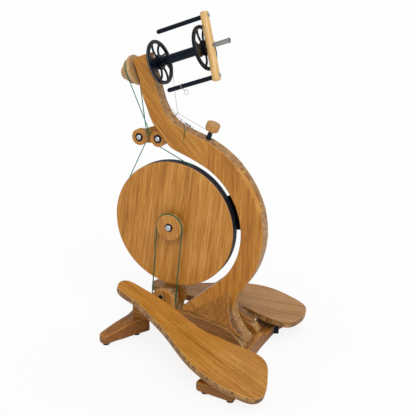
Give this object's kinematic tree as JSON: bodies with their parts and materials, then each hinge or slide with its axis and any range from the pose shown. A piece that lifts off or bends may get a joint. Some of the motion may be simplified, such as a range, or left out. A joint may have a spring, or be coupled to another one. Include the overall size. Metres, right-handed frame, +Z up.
{
  "type": "spinning wheel",
  "caption": "Upright treadle spinning wheel: solid drive wheel in a curved laminated board frame, tilted flyer and bobbin, band idlers, knob-tensioned brake and foot treadles.",
  "frame": {"origin": "on the floor, under the middle of the bounding box", "axes": "+Z up; +X from the whorl end towards the orifice, which is the spinner's side; the treadle belt is on the -Y side"},
  "size_m": [0.5056, 0.5147, 0.8584],
  "materials": {
    "board_wood": "satin oiled laminated bamboo board",
    "wheel_wood": "satin oiled laminated bamboo board",
    "turned_wood": "satin turned wood",
    "pale_wood": "satin turned pale wood",
    "tyre_rubber": "matte",
    "foot_rubber": "matte",
    "black_moulding": "fine satin moulding",
    "black_rod": "black satin coating",
    "bearing_black": "seal ring",
    "steel": "bright turned",
    "link_black": "satin",
    "green_band": "stretch cord",
    "grey_line": "nylon line"
  },
  "bodies": {
    "root": {"upright": "board_wood", "head_bearing": "bearing_black", "spine_beam": "board_wood", "front_foot": "board_wood", "rear_foot": "board_wood", "rubber_feet": "foot_rubber", "near_rail": "board_wood", "far_rail": "board_wood", "near_buttress": "board_wood", "far_buttress": "board_wood", "axle_bolt": "steel", "axle_arm": "black_rod", "arm_screws": "black_rod", "crank_bearing": "wheel_wood", "hinge_brackets": "black_rod", "hinge_pins": "steel", "idler_arm": "board_wood", "idler_bolts": "steel", "drive_band": "green_band", "treadle_belt": "green_band", "brake_eyes": "steel", "brake_line": "grey_line", "brake_spring": "steel", "brake_cord": "green_band"},
    "wheel": {"wheel_disc": "wheel_wood", "wheel_tyre": "tyre_rubber", "wheel_pulley": "wheel_wood", "wheel_bearing": "bearing_black"},
    "crank": {"crankshaft": "steel", "near_crank_disc": "wheel_wood", "far_crank_disc": "wheel_wood", "crank_pins": "steel"},
    "near_pitman_link": {"near_pitman": "link_black", "near_pitman_pin": "steel"},
    "far_pitman_link": {"far_pitman": "link_black", "far_pitman_pin": "steel"},
    "near_treadle_board": {"near_treadle": "board_wood", "near_hinge_lug": "link_black", "near_toe_bracket": "link_black"},
    "far_treadle_board": {"far_treadle": "board_wood", "far_hinge_lug": "link_black", "far_toe_bracket": "link_black"},
    "left_idler_roller": {"left_idler": "wheel_wood", "left_idler_bearing": "bearing_black"},
    "right_idler_roller": {"right_idler": "wheel_wood", "right_idler_bearing": "bearing_black"},
    "flyer": {"flyer_spindle": "steel", "whorl": "turned_wood", "crossbar": "pale_wood", "flyer_arms": "black_rod", "arm_caps": "black_moulding", "orifice": "steel"},
    "bobbin": {"bobbin_rear_flange": "black_moulding", "bobbin_front_flange": "black_moulding", "bobbin_core": "black_moulding", "bobbin_bushes": "bearing_black"},
    "yarn_hook": {"sliding_hook": "steel"},
    "brake_knob": {"tension_knob": "turned_wood", "tension_stem": "black_moulding"}
  },
  "joints": [
    {"name": "wheel_spin", "type": "hinge", "parent": "root", "child": "wheel", "pos_m": [-0.07578, -0.00423, 0.33], "axis": [0, 1, 0], "continuous": true},
    {"name": "crank_spin", "type": "hinge", "parent": "root", "child": "crank", "pos_m": [-0.09678, -0.00423, 0.12], "axis": [0, 1, 0], "continuous": true},
    {"name": "near_pitman_turn", "type": "hinge", "parent": "crank", "child": "near_pitman_link", "pos_m": [-0.09678, -0.04773, 0.14], "axis": [0, 1, 0], "continuous": true},
    {"name": "far_pitman_turn", "type": "hinge", "parent": "crank", "child": "far_pitman_link", "pos_m": [-0.09678, 0.03927, 0.1], "axis": [0, 1, 0], "continuous": true},
    {"name": "near_treadle_hinge", "type": "hinge", "parent": "root", "child": "near_treadle_board", "pos_m": [0.15642, -0.15923, 0.043], "axis": [0.2588, 0.9659, 0], "range_deg": [-8.7, 0]},
    {"name": "far_treadle_hinge", "type": "hinge", "parent": "root", "child": "far_treadle_board", "pos_m": [0.15642, 0.15077, 0.043], "axis": [-0.2588, 0.9659, 0], "range_deg": [0, 8.7]},
    {"name": "left_idler_spin", "type": "hinge", "parent": "root", "child": "left_idler_roller", "pos_m": [-0.16878, -0.00423, 0.547], "axis": [0, 1, 0], "continuous": true},
    {"name": "right_idler_spin", "type": "hinge", "parent": "root", "child": "right_idler_roller", "pos_m": [-0.11678, -0.00423, 0.5475], "axis": [0, 1, 0], "continuous": true},
    {"name": "flyer_spin", "type": "hinge", "parent": "root", "child": "flyer", "pos_m": [-0.07578, -0.00423, 0.7471], "axis": [0.946, 0, 0.3242], "continuous": true},
    {"name": "bobbin_spin", "type": "hinge", "parent": "flyer", "child": "bobbin", "pos_m": [-0.05686, -0.00423, 0.75358], "axis": [0.946, 0, 0.3242], "continuous": true},
    {"name": "yarn_hook_slide", "type": "slide", "parent": "flyer", "child": "yarn_hook", "axis": [0.946, 0, 0.3242], "range_m": [-0.03, 0.07]},
    {"name": "brake_knob_turn", "type": "hinge", "parent": "root", "child": "brake_knob", "pos_m": [0.01624, -0.00423, 0.56008], "axis": [0.3714, 0, 0.9285], "continuous": true}
  ],
  "couplings": [
    {"joint": "crank_spin", "follows": "wheel_spin", "ratio": 1.0294},
    {"joint": "near_pitman_turn", "follows": "wheel_spin", "ratio": -1.0294},
    {"joint": "far_pitman_turn", "follows": "wheel_spin", "ratio": -1.0294},
    {"joint": "left_idler_spin", "follows": "wheel_spin", "ratio": -8.7419},
    {"joint": "right_idler_spin", "follows": "wheel_spin", "ratio": -8.7419},
    {"joint": "flyer_spin", "follows": "wheel_spin", "ratio": 5.7053},
    {"joint": "far_treadle_hinge", "follows": "near_treadle_hinge", "ratio": -1}
  ]
}
